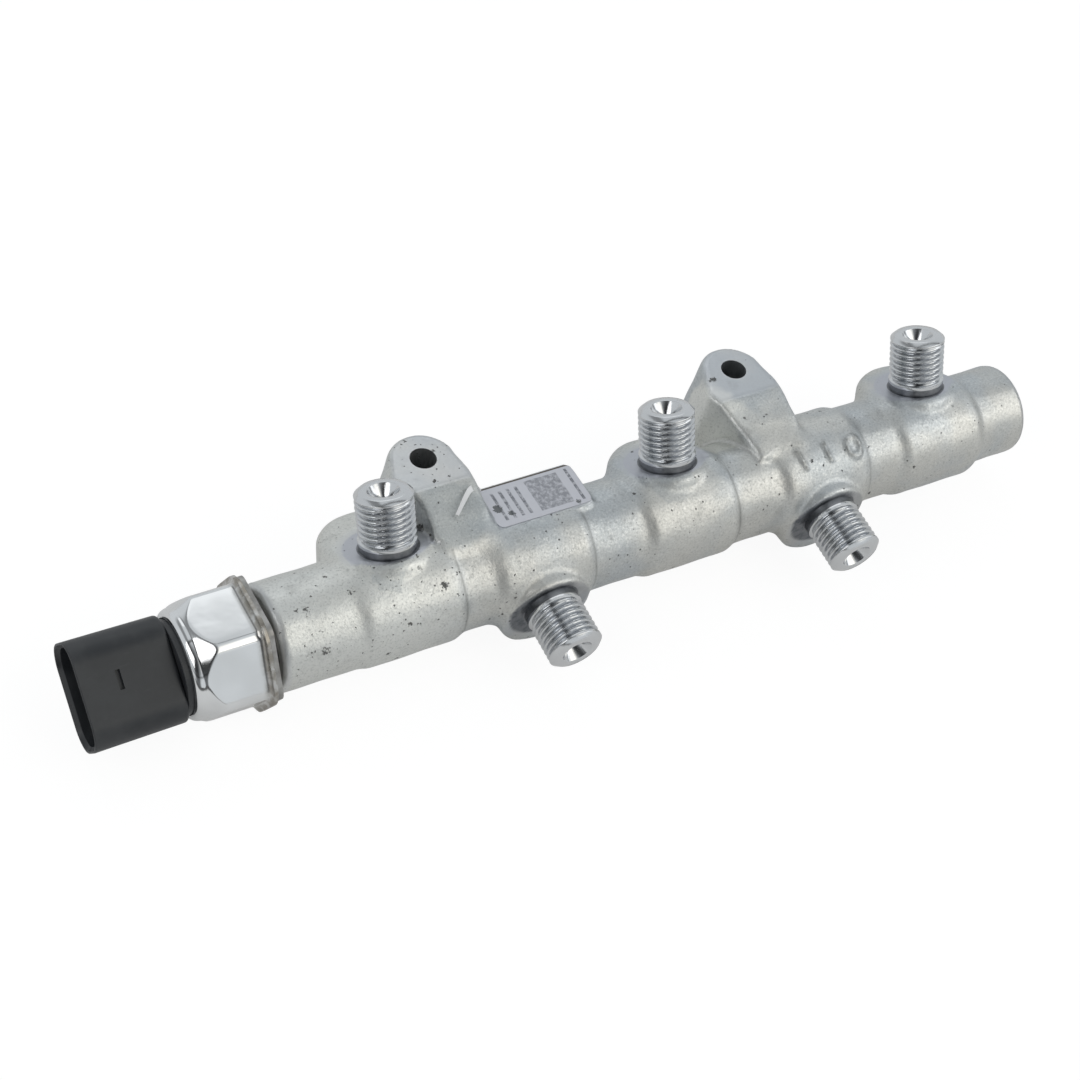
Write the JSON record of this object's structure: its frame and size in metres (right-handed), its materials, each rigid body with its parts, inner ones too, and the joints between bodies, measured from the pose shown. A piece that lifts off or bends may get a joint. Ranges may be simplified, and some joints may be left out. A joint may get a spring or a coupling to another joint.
{
  "type": "fuel rail",
  "caption": "Forged diesel fuel rail with threaded pipe nipples, two bolt lugs and a screwed-in pressure sensor with a plug socket",
  "frame": {"origin": "midway between the two bolt holes, on the plane the lugs stand on", "axes": "+X along the rail towards its closed end, away from the sensor; +Z along the bolts towards their heads; +Y from the rail to the bolts"},
  "size_m": [0.2611, 0.062, 0.0455],
  "materials": {
    "forged_steel": "satin zinc plating on forged steel",
    "turned_steel": "turned",
    "can_steel": "bright drawn steel",
    "foil": "matt printed foil",
    "black_plastic": "moulded",
    "ring_plastic": "moulded",
    "board": "solder mask",
    "chip": "moulded",
    "spring_metal": "gold plated",
    "terminal_metal": "tin plated",
    "seal_rubber": "moulded"
  },
  "bodies": {
    "root": {"rail_body": "forged_steel", "label_foil": "foil", "sensor_port": "turned_steel", "sensor_can": "can_steel", "sensing_element": "turned_steel", "support_ring": "ring_plastic", "circuit_board": "board", "signal_chip": "chip", "contact_spring_1": "spring_metal", "contact_spring_2": "spring_metal", "contact_spring_3": "spring_metal", "terminal_1": "terminal_metal", "terminal_2": "terminal_metal", "terminal_3": "terminal_metal", "connector_housing": "black_plastic", "connector_seal": "seal_rubber"}
  },
  "joints": []
}
